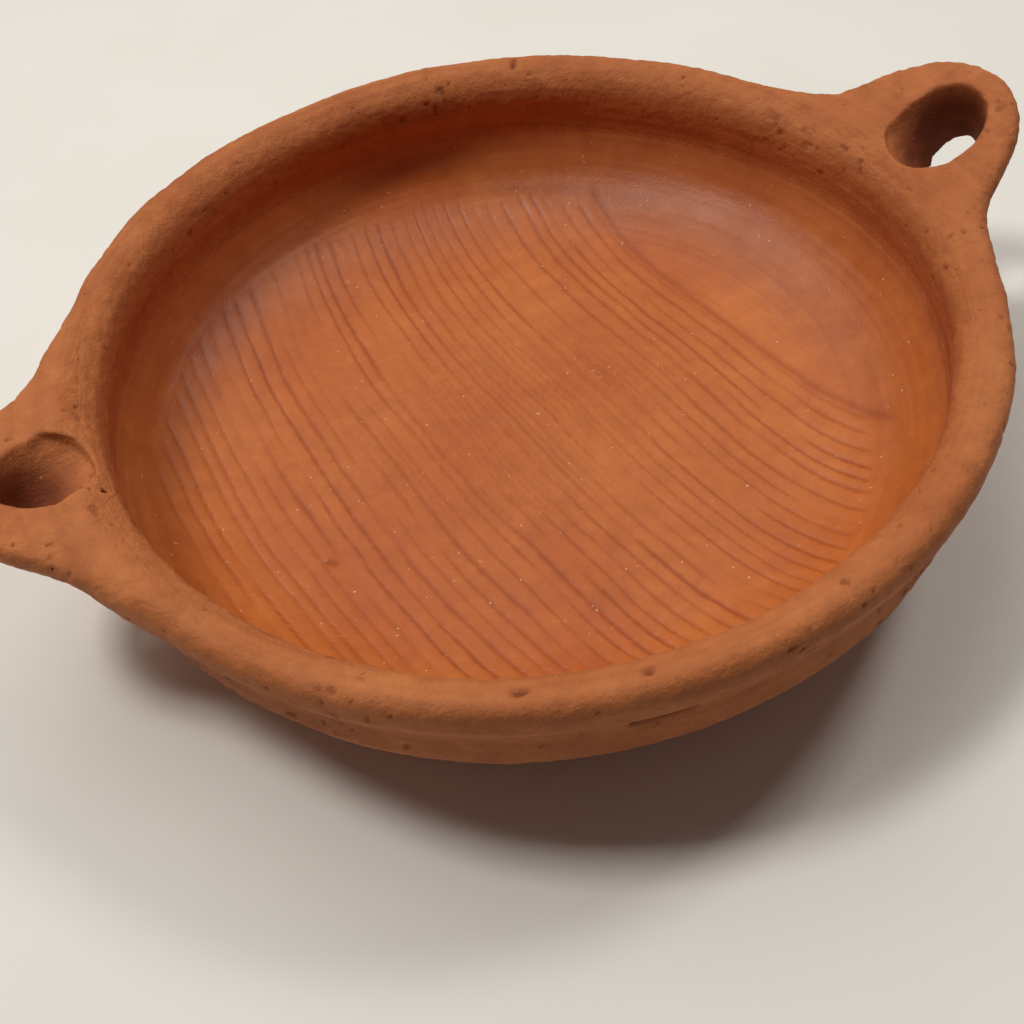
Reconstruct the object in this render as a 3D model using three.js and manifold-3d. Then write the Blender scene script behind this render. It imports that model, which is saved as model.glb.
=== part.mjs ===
// A shallow round earthenware dish with two pierced lugs, built the way a potter
// builds it: a floor slab, two wall coils, a rim coil and a lug at each side.
// Millimetres, +Z up. The origin is on the table under the middle of the dish,
// and the two lugs lie along X.

import * as THREE from 'three';
import { mergeVertices } from 'three/addons/utils/BufferGeometryUtils.js';
import Module from 'manifold-3d';

const wasm = await Module();
wasm.setup();

// ---------------------------------------------------------------- dimensions

// the dish as a whole
const RIM_RADIUS = 100;        // middle of the dish to the outside of the rim
const DISH_HEIGHT = 47;        // table to the crest of the rim
const BASE_RADIUS = 52;        // flat disc that the dish stands on

// the rim roll
const RIM_WIDTH = 10.6;        // across the roll
const RIM_DEPTH = 12;          // crest to underside of the roll
const RIM_SLOPE = 0.2;         // fall of the crest towards the bowl
const RIM_SQUARENESS = 2.6;    // 2 is an oval, more is squarer

// the wall
const KEEL_DROP = 21.5;        // crest down to the keel, where the belly turns under
const KEEL_INSET = 3;          // keel inside the outside of the rim
const KEEL_TURN = 55;          // degrees through which the belly's curve turns up to the keel
const WAIST_DROP = 13;         // crest down to the waist under the rim
const WAIST_INSET = 3.6;       // waist inside the outside of the rim
const HOLLOW_DROP = 17;        // crest down to the widest ring of the bowl
const HOLLOW_INSET = 9.2;      // widest ring of the bowl inside the outside of the rim

// the floor
const FLOOR_THICKNESS = 9.5;   // clay under the middle of the bowl
const FLOOR_RADIUS = 56;       // flat part of the bowl's floor

// the joints between coils, each a slanting face from the outside to the bowl
const JOINT_GAP = 0.35;        // slip between two pieces of clay
const SLAB_JOINT_REACH = 24;   // base's edge out to the slab's joint on the belly
const SLAB_JOINT_LEAN = 6;     // that joint leans in by this much on the floor
const KEEL_JOINT_DROP = 1.5;   // widest ring of the bowl down to the keel's joint
const RIM_JOINT_RISE = 1.5;    // waist up to the rim's joint in the bowl

// the lugs, each pressed on and pierced by hand, so no two are alike
const LEFT_LUG = {
  name: 'left_lug',
  turn: Math.PI,               // round the dish
  reach: 2.6,                  // outside of the rim out to the middle of the hole
  rise: 0.4,                   // crest of the rim up to the middle of the hole
  tilt: 13,                    // degrees that the lug's tip is raised
  mouth: 10.1,                 // radius of the hole on top
  draw: 4.6,                   // loss of that radius down to the underside
  head: 19.6,                  // radius of the lug's round end
  thickness: 10.5,             // mouth of the hole down to the underside
};
const RIGHT_LUG = {
  name: 'right_lug',
  turn: 0,
  reach: 7.8,
  rise: 5,
  tilt: 26,
  mouth: 11.3,
  draw: 5.6,
  head: 19,
  thickness: 14,
};
const LUG_EDGE = 3.5;          // rounding of the lug's edge
const LUG_TAPER = 0.018;       // share of its outline that the lug loses per millimetre down
const LUG_FILLET = 56;         // radius of the hollow sweep from the rim to the lug's head
const LUG_ROOT = 45;           // how far its blank runs inside the rim, where it is cut away
const TONGUE = 2.4;            // clay of the lug that laps over the rim
const TONGUE_MARGIN = 5;       // lap beyond the hole on either side

// how finely the round stretches are divided
const RING_STEPS = 72;
const BELLY_STEPS = 7;
const WALL_STEPS = 3;
const ROLL_STEPS = 16;
const CORNER_STEPS = 7;
const ARC_STEPS = 12;
const EDGE_STEPS = 3;
const HOLE_STEPS = 28;

// room that a cutting shape runs past what it cuts
const OVERRUN = 6;

// ------------------------------------------------------------ derived places

const keelZ = DISH_HEIGHT - KEEL_DROP;
const keelR = RIM_RADIUS - KEEL_INSET;
const waistZ = DISH_HEIGHT - WAIST_DROP;
const waistR = RIM_RADIUS - WAIST_INSET;
const hollowZ = DISH_HEIGHT - HOLLOW_DROP;
const hollowR = RIM_RADIUS - HOLLOW_INSET;
const rollR = RIM_RADIUS - RIM_WIDTH / 2;
const rollZ = DISH_HEIGHT - RIM_DEPTH / 2;
const slabJointR = BASE_RADIUS + SLAB_JOINT_REACH;
const floorJointR = slabJointR - SLAB_JOINT_LEAN;
const keelJointZ = hollowZ - KEEL_JOINT_DROP;
const rimJointZ = waistZ + RIM_JOINT_RISE;
const keelTurn = THREE.MathUtils.degToRad(KEEL_TURN);
const slip = JOINT_GAP / 2;

// turns round the roll, from its outermost point, at which it leaves the wall
// outside and meets the bowl inside
const ROLL_START = THREE.MathUtils.degToRad(-50);
const ROLL_END = THREE.MathUtils.degToRad(198);
const ROLL_CREST = THREE.MathUtils.degToRad(90);

// ------------------------------------------------------- outline of the section

// Points of a curve of one number, evenly spaced from one value to another.
function sample(curve, from, to, steps) {
  return Array.from({ length: steps + 1 }, (_, i) => curve(THREE.MathUtils.lerp(from, to, i / steps)));
}

// A power that keeps the sign of its number.
function signedPower(value, exponent) {
  return Math.sign(value) * Math.abs(value) ** exponent;
}

// Cross-section of the rim roll, grown by `proud` all round: a squarish oval,
// sheared so that its crest falls towards the bowl. The oval is flattened by as
// much as the shear lifts it, so the crest stays at the dish's height.
function rollPoint(angle, proud = 0) {
  const dual = RIM_SQUARENESS / (RIM_SQUARENESS - 1);
  const halfWidth = RIM_WIDTH / 2;
  const halfDepth = ((RIM_DEPTH / 2) ** dual - (RIM_SLOPE * halfWidth) ** dual) ** (1 / dual);
  const across = signedPower(Math.cos(angle), 2 / RIM_SQUARENESS) * (halfWidth + proud);
  const up = signedPower(Math.sin(angle), 2 / RIM_SQUARENESS) * (halfDepth + proud);
  return new THREE.Vector2(rollR + across, rollZ + up + RIM_SLOPE * across);
}

const neck = rollPoint(ROLL_END);

// Outside of the belly: the first stretch of an oval, level at the base's edge
// and still leaning out where it meets the keel.
function bellyPoint(turn) {
  const r = BASE_RADIUS + (keelR - BASE_RADIUS) * Math.sin(turn) / Math.sin(keelTurn);
  return new THREE.Vector2(r, keelZ * (1 - Math.cos(turn)) / (1 - Math.cos(keelTurn)));
}

// Inside corner of the bowl: a quarter oval from the floor up to the widest ring.
function cornerPoint(turn) {
  const r = FLOOR_RADIUS + (hollowR - FLOOR_RADIUS) * Math.sin(turn);
  return new THREE.Vector2(r, hollowZ - (hollowZ - FLOOR_THICKNESS) * Math.cos(turn));
}

// Outside of the wall, easing from the keel in to the waist, with `proud` added.
function wallPoint(z, proud = 0) {
  const ease = THREE.MathUtils.smoothstep(z, keelZ, waistZ);
  return new THREE.Vector2(THREE.MathUtils.lerp(keelR, waistR, ease) + proud, z);
}

// Inside of the bowl, easing from its widest ring in to the neck under the roll.
function bowlPoint(z, proud = 0) {
  const ease = THREE.MathUtils.smoothstep(z, hollowZ, neck.y);
  return new THREE.Vector2(THREE.MathUtils.lerp(hollowR, neck.x, ease) - proud, z);
}

// Turns of the two ovals at the joints.
const bellyTurnAt = (r) => Math.asin(Math.sin(keelTurn) * (r - BASE_RADIUS) / (keelR - BASE_RADIUS));
const bellyTurnAtZ = (z) => Math.acos(1 - (1 - Math.cos(keelTurn)) * z / keelZ);
const cornerTurnAt = (r) => Math.asin((r - FLOOR_RADIUS) / (hollowR - FLOOR_RADIUS));
const cornerTurnAtZ = (z) => Math.acos((hollowZ - z) / (hollowZ - FLOOR_THICKNESS));
const WIDEST = Math.PI / 2;

// The floor slab: from the axis out along the base, up the joint, back along the floor.
function slabOutline() {
  return [
    new THREE.Vector2(0, 0),
    ...sample(bellyPoint, 0, bellyTurnAt(slabJointR - slip), EDGE_STEPS),
    ...sample(cornerPoint, cornerTurnAt(floorJointR - slip), 0, EDGE_STEPS),
    new THREE.Vector2(0, FLOOR_THICKNESS),
  ];
}

// The lower wall coil: the belly outside, the bowl's round corner inside.
function lowerWallOutline() {
  return [
    ...sample(bellyPoint, bellyTurnAt(slabJointR + slip), bellyTurnAtZ(keelZ - slip), BELLY_STEPS),
    ...sample(cornerPoint, cornerTurnAtZ(keelJointZ - slip), cornerTurnAt(floorJointR + slip), CORNER_STEPS),
  ];
}

// The upper wall coil: keel to waist outside, its two joints and the bowl's side inside.
function upperWallOutline() {
  return [
    ...sample(wallPoint, keelZ + slip, waistZ - slip, WALL_STEPS),
    ...sample(bowlPoint, rimJointZ - slip, hollowZ, WALL_STEPS),
    ...sample(cornerPoint, WIDEST, cornerTurnAtZ(keelJointZ + slip), 1).slice(1),
  ];
}

// The rim coil: the waist, round the roll, and down to its joint inside the bowl.
function rimOutline() {
  return [
    wallPoint(waistZ + slip),
    ...sample(rollPoint, ROLL_START, ROLL_END, ROLL_STEPS),
    bowlPoint(rimJointZ + slip),
  ];
}

// Wall and rim grown by the gap, for cutting the seat of a tongue that laps over them.
function grownWallOutline() {
  return [
    ...sample((z) => wallPoint(z, JOINT_GAP), keelZ, waistZ, WALL_STEPS),
    ...sample((angle) => rollPoint(angle, JOINT_GAP), ROLL_START, ROLL_END, ROLL_STEPS),
    ...sample((z) => bowlPoint(z, JOINT_GAP), rimJointZ, hollowZ, WALL_STEPS),
  ];
}

// The whole dish grown by the gap and filled to the crest, for cutting a lug's seat.
function filledDishOutline() {
  return [
    new THREE.Vector2(0, 0),
    new THREE.Vector2(keelR + JOINT_GAP, 0),
    ...sample((z) => wallPoint(z, JOINT_GAP), keelZ, waistZ, WALL_STEPS),
    ...sample((angle) => rollPoint(angle, JOINT_GAP), ROLL_START, ROLL_CREST, ROLL_STEPS),
    new THREE.Vector2(0, DISH_HEIGHT),
  ];
}

// ------------------------------------------------------------- solids and cuts

// A closed geometry as a solid that can be cut and joined.
function solid(geometry) {
  const bare = geometry.clone();
  bare.deleteAttribute('normal');
  bare.deleteAttribute('uv');
  const merged = mergeVertices(bare);
  const corners = merged.index.array;
  const triVerts = [];
  for (let i = 0; i < corners.length; i += 3) {
    const [a, b, c] = corners.slice(i, i + 3);
    if (a !== b && b !== c && c !== a) triVerts.push(a, b, c);
  }
  return new wasm.Manifold(new wasm.Mesh({
    numProp: 3,
    vertProperties: new Float32Array(merged.attributes.position.array),
    triVerts: new Uint32Array(triVerts),
  }));
}

// A solid as a geometry again, flat-shaded.
function geometryOf(body) {
  const mesh = body.getMesh();
  const geometry = new THREE.BufferGeometry();
  geometry.setAttribute('position', new THREE.BufferAttribute(mesh.vertProperties, 3));
  geometry.setIndex(new THREE.BufferAttribute(mesh.triVerts, 1));
  geometry.computeVertexNormals();
  return geometry;
}

// An outline turned about the dish's upright axis. An outline that starts off the
// axis is closed on itself.
function turned(outline) {
  const closed = outline[0].x > 0 ? [...outline, outline[0]] : outline;
  return new THREE.LatheGeometry(closed, RING_STEPS).rotateX(Math.PI / 2);
}

// --------------------------------------------------------------------- the lugs

// Frame of a lug: X out along its raised tip, Y round the dish, Z up out of the
// hole, with its origin at the middle of the hole's mouth.
function lugFrame(lug) {
  const place = new THREE.Matrix4().makeTranslation(RIM_RADIUS + lug.reach, 0, DISH_HEIGHT + lug.rise);
  const tip = new THREE.Matrix4().makeRotationY(-THREE.MathUtils.degToRad(lug.tilt));
  return new THREE.Matrix4().makeRotationZ(lug.turn).multiply(place).multiply(tip);
}

// Points of an arc about a centre on the lug's plate.
function arc(x, y, radius, from, to) {
  const point = (turn) => new THREE.Vector2(x + radius * Math.cos(turn), y + radius * Math.sin(turn));
  return sample(point, from, to, ARC_STEPS);
}

// Outline of a lug from above: a round head that sweeps out into the rim on both
// sides by hollow arcs, tangent to the head and to the rim, and a root well inside
// the dish, where the lug's seat is cut away.
function lugOutline(lug) {
  const axisX = -(RIM_RADIUS + lug.reach / Math.cos(THREE.MathUtils.degToRad(lug.tilt)));
  const toRim = RIM_RADIUS + LUG_FILLET;
  const toHead = lug.head + LUG_FILLET;
  const sweepX = (toHead ** 2 - toRim ** 2 + axisX ** 2) / (2 * axisX);
  const sweepY = Math.sqrt(toHead ** 2 - sweepX ** 2);
  const atHead = Math.atan2(-sweepY, -sweepX);
  const atRim = Math.atan2(-sweepY, axisX - sweepX);
  const headTurn = Math.atan2(sweepY, sweepX);
  const rootX = axisX - (RIM_RADIUS - LUG_ROOT) * Math.cos(atRim);
  const rootY = (LUG_ROOT - RIM_RADIUS) * Math.sin(atRim);
  return new THREE.Shape([
    new THREE.Vector2(rootX, -rootY),
    ...arc(sweepX, -sweepY, LUG_FILLET, -atRim, -atHead),
    ...arc(0, 0, lug.head, -headTurn, headTurn).slice(1, -1),
    ...arc(sweepX, sweepY, LUG_FILLET, atHead, atRim),
    new THREE.Vector2(rootX, rootY),
  ]);
}

// The lug's plate in its own frame, its mouth side at z = 0, drawn in as it goes down.
function lugPlate(lug) {
  const plate = new THREE.ExtrudeGeometry(lugOutline(lug), {
    depth: lug.thickness - 2 * LUG_EDGE,
    bevelThickness: LUG_EDGE,
    bevelSize: LUG_EDGE,
    bevelOffset: -LUG_EDGE,
    bevelSegments: EDGE_STEPS,
  }).translate(0, 0, LUG_EDGE - lug.thickness);
  const place = plate.attributes.position;
  for (let i = 0; i < place.count; i += 1) {
    const draw = 1 + LUG_TAPER * place.getZ(i);
    place.setX(i, place.getX(i) * draw);
    place.setY(i, place.getY(i) * draw);
  }
  return plate;
}

// The tapering hole in the lug's frame, run past the mouth and the underside.
function lugHole(lug) {
  const draw = lug.draw / lug.thickness;
  const below = lug.thickness + OVERRUN;
  const top = lug.mouth + draw * OVERRUN;
  const bottom = lug.mouth - draw * below;
  const hole = new THREE.CylinderGeometry(top, bottom, OVERRUN + below, HOLE_STEPS);
  return hole.rotateX(Math.PI / 2).translate(0, 0, (OVERRUN - below) / 2);
}

// Clay of the lug that laps over the rim: a stretch of the roll, grown by the
// tongue's thickness, under a round footprint about the hole.
function lugTongue(lug) {
  const roll = turned(sample((angle) => rollPoint(angle, TONGUE), 0, 2 * Math.PI, 2 * ROLL_STEPS).slice(0, -1));
  const lap = lug.mouth + TONGUE_MARGIN;
  const footprint = new THREE.CylinderGeometry(lap, lap, DISH_HEIGHT, HOLE_STEPS)
    .rotateX(Math.PI / 2)
    .scale((RIM_WIDTH + TONGUE + lug.reach) / lap, 1, 1)
    .translate(RIM_RADIUS + lug.reach, 0, DISH_HEIGHT)
    .applyMatrix4(new THREE.Matrix4().makeRotationZ(lug.turn));
  return solid(roll).intersect(solid(footprint)).subtract(solid(turned(grownWallOutline())));
}

// A whole lug in its own frame: plate and tongue, seated on the dish and pierced.
function lugGeometry(lug, frame) {
  const home = frame.clone().invert();
  const plate = solid(lugPlate(lug).applyMatrix4(frame)).subtract(solid(turned(filledDishOutline())));
  const hole = solid(lugHole(lug).applyMatrix4(frame));
  return geometryOf(plate.add(lugTongue(lug)).subtract(hole)).applyMatrix4(home);
}

// ------------------------------------------------------------------- the pieces

// One named piece of clay in its own shade.
function piece(name, geometry, color, roughness) {
  const mesh = new THREE.Mesh(geometry, new THREE.MeshStandardMaterial({ color, roughness, metalness: 0 }));
  mesh.name = name;
  return mesh;
}

const BURNISHED = 0.45;
const ROUGH = 0.85;

const dish = new THREE.Group();

// The holes bite into the coils above the keel.
const holes = [LEFT_LUG, RIGHT_LUG].map((lug) => solid(lugHole(lug).applyMatrix4(lugFrame(lug))));
const pierced = (outline) => geometryOf(holes.reduce((body, hole) => body.subtract(hole), solid(turned(outline))));

dish.add(piece('floor_slab', turned(slabOutline()), '#b9683c', BURNISHED));
dish.add(piece('lower_wall_coil', turned(lowerWallOutline()), '#ae6038', BURNISHED));
dish.add(piece('upper_wall_coil', pierced(upperWallOutline()), '#a65a34', ROUGH));
dish.add(piece('rim_coil', pierced(rimOutline()), '#b76e42', ROUGH));

for (const lug of [LEFT_LUG, RIGHT_LUG]) {
  const frame = lugFrame(lug);
  const mesh = piece(lug.name, lugGeometry(lug, frame), '#b26a40', ROUGH);
  mesh.applyMatrix4(frame);
  dish.add(mesh);
}

export default dish;
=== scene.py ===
"""A shallow coil-built terracotta dish with two pierced lugs, on a pale table.

The dish is fired earthenware. A floor slab, two wall coils and a rim coil are
luted together, and a lug is pressed on at each side and pierced with a finger.
The bowl is burnished with a pebble, and the rim and the lugs are wiped with a
wet hand. Sizes are millimetres until a mesh is made, and metres after that. The
row frame has +Z up and both lugs along X.
"""

import logging
import math
from dataclasses import dataclass, field
from enum import Enum

import bpy
import numpy as np
from mathutils import Matrix, Vector


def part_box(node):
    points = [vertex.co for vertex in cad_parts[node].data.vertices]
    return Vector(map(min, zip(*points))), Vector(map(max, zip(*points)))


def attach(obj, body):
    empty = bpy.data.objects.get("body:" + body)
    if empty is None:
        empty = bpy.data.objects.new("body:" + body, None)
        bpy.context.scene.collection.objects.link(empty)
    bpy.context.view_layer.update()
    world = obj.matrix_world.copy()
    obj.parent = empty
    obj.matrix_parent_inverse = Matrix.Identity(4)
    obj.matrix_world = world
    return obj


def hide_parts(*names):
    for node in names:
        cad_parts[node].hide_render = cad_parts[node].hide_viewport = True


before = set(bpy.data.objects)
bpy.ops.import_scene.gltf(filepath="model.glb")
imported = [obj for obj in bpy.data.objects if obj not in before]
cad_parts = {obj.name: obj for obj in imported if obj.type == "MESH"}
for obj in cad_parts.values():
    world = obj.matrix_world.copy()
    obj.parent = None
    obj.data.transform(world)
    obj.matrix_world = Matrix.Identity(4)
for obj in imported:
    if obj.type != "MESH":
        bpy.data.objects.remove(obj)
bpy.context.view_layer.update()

LOG = logging.getLogger("dish")
MM = 0.001
TAU = 2.0 * math.pi
Array = np.ndarray


class Slot(Enum):
    """The record's two finishes of clay."""

    BURNISHED = "burnished_clay"
    WIPED = "wiped_clay"


# ------------------------------------------------------------------ arithmetic


def smoothstep(low: float, high: float, value: Array) -> Array:
    """Eases from 0 at `low` to 1 at `high`: 3t^2 - 2t^3 of the clamped share t."""
    share = np.clip((value - low) / (high - low), 0.0, 1.0)
    return share * share * (3.0 - 2.0 * share)


def smooth_min(a: Array, b: Array, width: float) -> Array:
    """The lesser of two, rounded where they differ by less than `width`."""
    blend = np.maximum(width - np.abs(a - b), 0.0) / width
    return np.minimum(a, b) - blend * blend * blend * width / 6.0


def smooth_max(a: Array, b: Array, width: float) -> Array:
    """The greater of two, rounded where they differ by less than `width`."""
    return -smooth_min(-a, -b, width)


def unit(vector: Array) -> Array:
    """The vectors along the last axis at length 1."""
    length = np.linalg.norm(vector, axis=-1, keepdims=True)
    return vector / np.maximum(length, 1e-12)


class Lattice:
    """Smooth random values in space, the same on every run.

    The value at a point is blended, with an eased share on each axis, from the
    random numbers on the eight corners of its lattice cell.
    """

    SIDE = 64

    def __init__(self, seed: int) -> None:
        """Fills the lattice.

        Args:
            seed: chooses the random numbers.
        """
        self.table = np.random.default_rng(seed).uniform(-1.0, 1.0, (self.SIDE,) * 3)

    def at(self, points: Array, size: float | tuple[float, float, float]) -> Array:
        """Values from about -1 to 1.

        Args:
            points: (..., 3) places in millimetres.
            size: millimetres from one lattice corner to the next, for all axes or each.

        Returns:
            One value for each point.
        """
        scaled = points / np.asarray(size, float)
        low = np.floor(scaled).astype(int)
        share = scaled - low
        share = share * share * (3.0 - 2.0 * share)
        total = np.zeros(points.shape[:-1])
        for corner in np.ndindex(2, 2, 2):
            weight = np.prod(np.where(np.array(corner) == 1, share, 1.0 - share), axis=-1)
            place = (low + np.array(corner)) % self.SIDE
            total += weight * self.table[place[..., 0], place[..., 1], place[..., 2]]
        return total

    def layered(self, points: Array, size: float, layers: int) -> Array:
        """Sum of `layers` patterns, each half as wide and half as strong as the last."""
        return sum(self.at(points + 31.7 * k, size / 2**k) / 2**k for k in range(layers))


LUMPS = Lattice(11)
GRIT = Lattice(23)
TOOL = Lattice(37)
# Millimetres from one point of the bowl's outline to the next.
OUTLINE_STEP = 0.1


# --------------------------------------------------------------- the dish's form


@dataclass(frozen=True)
class Section:
    """Cross-section of the bowl, as (distance from the axis, height).

    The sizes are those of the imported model, but for a rim that is a little rounder
    and slopes more. The outline runs from the edge of the base up the belly, over
    the rim and down the bowl to the middle of the floor, and is then eased along
    its length so that every turn is as soft as wiped clay.
    """

    rim_radius: float
    height: float
    base_radius: float = 52.0
    rim_width: float = 10.6
    rim_depth: float = 12.0
    rim_slope: float = 0.32
    squareness: float = 2.3
    keel_drop: float = 21.5
    keel_inset: float = 3.0
    keel_turn: float = math.radians(55.0)
    waist_drop: float = 13.0
    waist_inset: float = 3.6
    hollow_drop: float = 17.0
    hollow_inset: float = 9.2
    floor_thickness: float = 9.5
    floor_radius: float = 56.0
    slab_joint_reach: float = 24.0
    slab_joint_lean: float = 6.0
    wall_joint_slant: float = 1.5
    roll_start: float = math.radians(-50.0)
    roll_end: float = math.radians(198.0)
    ease: float = 1.1
    STRETCH_POINTS = 400

    @property
    def keel(self) -> tuple[float, float]:
        """Where the belly turns up into the wall."""
        return self.rim_radius - self.keel_inset, self.height - self.keel_drop

    @property
    def waist(self) -> tuple[float, float]:
        """Where the wall is narrowest, under the roll."""
        return self.rim_radius - self.waist_inset, self.height - self.waist_drop

    @property
    def hollow(self) -> tuple[float, float]:
        """The widest ring of the bowl inside."""
        return self.rim_radius - self.hollow_inset, self.height - self.hollow_drop

    def roll(self, angle: Array) -> Array:
        """The rim roll: a squarish oval, sheared so that its crest falls inwards."""
        half = self.rim_width / 2.0
        dual = self.squareness / (self.squareness - 1.0)
        depth = ((self.rim_depth / 2.0) ** dual - (self.rim_slope * half) ** dual) ** (1.0 / dual)
        power = 2.0 / self.squareness
        across = np.sign(np.cos(angle)) * np.abs(np.cos(angle)) ** power * half
        up = np.sign(np.sin(angle)) * np.abs(np.sin(angle)) ** power * depth
        middle = self.rim_radius - half, self.height - self.rim_depth / 2.0
        return np.stack([middle[0] + across, middle[1] + up + self.rim_slope * across], -1)

    def outline(self) -> Array:
        """The whole outline, with a point every OUTLINE_STEP millimetres.

        Returns:
            (n, 2) points: belly r = base + reach sin t / sin T, wall and bowl eased
            between their rings, roll, corner a quarter oval, floor flat.
        """
        share = np.linspace(0.0, 1.0, self.STRETCH_POINTS)
        eased = share * share * (3.0 - 2.0 * share)
        turn = share * self.keel_turn
        reach = self.keel[0] - self.base_radius
        belly_r = self.base_radius + reach * np.sin(turn) / math.sin(self.keel_turn)
        belly_z = self.keel[1] * (1.0 - np.cos(turn)) / (1.0 - math.cos(self.keel_turn))
        wall_r = self.keel[0] + (self.waist[0] - self.keel[0]) * eased
        wall_z = self.keel[1] + (self.waist[1] - self.keel[1]) * share
        roll = self.roll(self.roll_start + (self.roll_end - self.roll_start) * share)
        neck = roll[-1]
        bowl_r = neck[0] + (self.hollow[0] - neck[0]) * eased
        bowl_z = neck[1] + (self.hollow[1] - neck[1]) * share
        quarter = (1.0 - share) * math.pi / 2.0
        corner_r = self.floor_radius + (self.hollow[0] - self.floor_radius) * np.sin(quarter)
        corner_z = self.hollow[1] - (self.hollow[1] - self.floor_thickness) * np.cos(quarter)
        floor_r = self.floor_radius * (1.0 - share)
        floor_z = np.full_like(share, self.floor_thickness)
        stretches = [(belly_r, belly_z), (wall_r, wall_z), (roll[:, 0], roll[:, 1]), (bowl_r, bowl_z)]
        stretches += [(corner_r, corner_z), (floor_r, floor_z)]
        rough = np.concatenate([np.stack(pair, -1) for pair in stretches])
        return self.eased(rough)

    def eased(self, rough: Array) -> Array:
        """The outline respaced evenly and averaged along its length.

        The weights are a bell of deviation `ease`, cut off at three deviations, and
        each end is carried on by its own reflection so that it stays where it is.
        """
        line = respaced(rough, OUTLINE_STEP)
        reach = int(3.0 * self.ease / OUTLINE_STEP)
        weight = np.exp(-0.5 * (np.arange(-reach, reach + 1) * OUTLINE_STEP / self.ease) ** 2)
        weight /= weight.sum()
        head = 2.0 * line[0] - line[reach:0:-1]
        tail = 2.0 * line[-1] - line[-2 : -reach - 2 : -1]
        padded = np.concatenate([head, line, tail])
        smooth = np.stack([np.convolve(padded[:, k], weight, "valid") for k in (0, 1)], -1)
        return respaced(smooth, OUTLINE_STEP)


def respaced(line: Array, step: float) -> Array:
    """Points every `step` along a polyline, by its length, both ends kept."""
    length = np.concatenate([[0.0], np.cumsum(np.linalg.norm(np.diff(line, axis=0), axis=1))])
    even = np.linspace(0.0, length[-1], max(int(round(length[-1] / step)), 2) + 1)
    return np.stack([np.interp(even, length, line[:, k]) for k in range(line.shape[1])], -1)


@dataclass(frozen=True)
class LugShape:
    """One lug's sizes, in mm and degrees.

    The hole's mouth is centred `reach` outside the rim's circle, `shift` along +Y
    and `rise` over the crest, and its axis leans by `lean`. It is an oval of radii
    `mouth` and `mouth_across`, swung by `swing`, which loses `taper` of each for
    every mm of depth. The plate tilts by `tilt`, is `thickness` deep, ends in a
    round head of radius `head` moved sideways by `head_shift`, meets the rim in
    sweeps of about `fillet`, and is drawn in below by `undercut`. `side` is -1 for
    the lug at -X and 1 for the one at +X, and `seed` moves the hole's unevenness.
    """

    name: str
    side: float
    reach: float
    shift: float
    rise: float
    tilt: float
    lean: float
    mouth: float
    mouth_across: float
    swing: float
    taper: float
    head: float
    head_shift: float
    thickness: float
    undercut: float
    fillet: float
    seed: int

    def axes(self, lean: float) -> tuple[Array, Array, Array]:
        """Unit vectors out along the lug, across it, and up out of its plate at a lean."""
        angle = math.radians(lean)
        out = np.array([self.side * math.cos(angle), 0.0, math.sin(angle)])
        up = np.array([-self.side * math.sin(angle), 0.0, math.cos(angle)])
        return out, np.array([0.0, 1.0, 0.0]), up

    def local(self, points: Array, centre: Array, lean: float) -> Array:
        """Points as (out, across, up) from the hole's middle, at a lean in degrees."""
        out, across, up = self.axes(lean)
        offset = points - centre
        return np.stack([offset @ out, offset @ across, offset @ up], -1)


@dataclass(frozen=True)
class Crack:
    """A short crack between two places in mm; a pit where both are the same."""

    start: tuple[float, float, float]
    end: tuple[float, float, float]
    width: float
    depth: float

    def at(self, points: Array) -> Array:
        """How open the crack is at points, 0 to 1: a bell on the distance from its line."""
        start, along = np.array(self.start), np.array(self.end) - np.array(self.start)
        offset = points - start
        share = np.clip((offset @ along) / max(along @ along, 1e-9), 0.0, 1.0)
        away = np.linalg.norm(offset - share[..., None] * along, axis=-1)
        ragged = 1.0 + 0.5 * GRIT.at(points, 1.7)
        return np.exp(-((away / (self.width * ragged)) ** 2))


@dataclass(frozen=True)
class HandMarks:
    """What the pebble, the wet hand and the grit leave on the clay, in mm.

    The pebble's strokes run along Y. They bow, fan out towards +X and drift, and
    they end at a straight `seam`, beyond which the floor was rubbed round and
    round. A pair holds the places between which a mark fades in or out.
    """

    bow: float = 0.0014
    bow_middle: float = 40.0
    fan: float = 0.0012
    fan_start: float = -43.0
    fan_reach: float = 42.0
    fan_length: float = 45.0
    wide_pitch: float = 3.65
    close_pitch: float = 1.9
    groove_depth: float = 0.13
    crown_depth: float = 0.03
    corner_crown_depth: float = 0.1
    floor_edge: tuple[float, float] = (79.5, 82.0)
    floor_middle: tuple[float, float] = (20.0, 46.0)
    corner: tuple[float, float] = (58.0, 76.0)
    strokes_end: tuple[float, float] = (51.4, 52.4)
    seam: float = 53.2
    seam_width: float = 1.1
    seam_depth: float = 0.12
    seam_edge: tuple[float, float] = (80.0, 84.0)
    wall_streak_lift: float = 0.13
    lump_width: float = 15.0
    lump_lift: float = 0.2
    grain_width: float = 1.6
    grain_lift: float = 0.1
    streak_lift: float = 0.1
    pit_depth: float = 0.34


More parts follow.
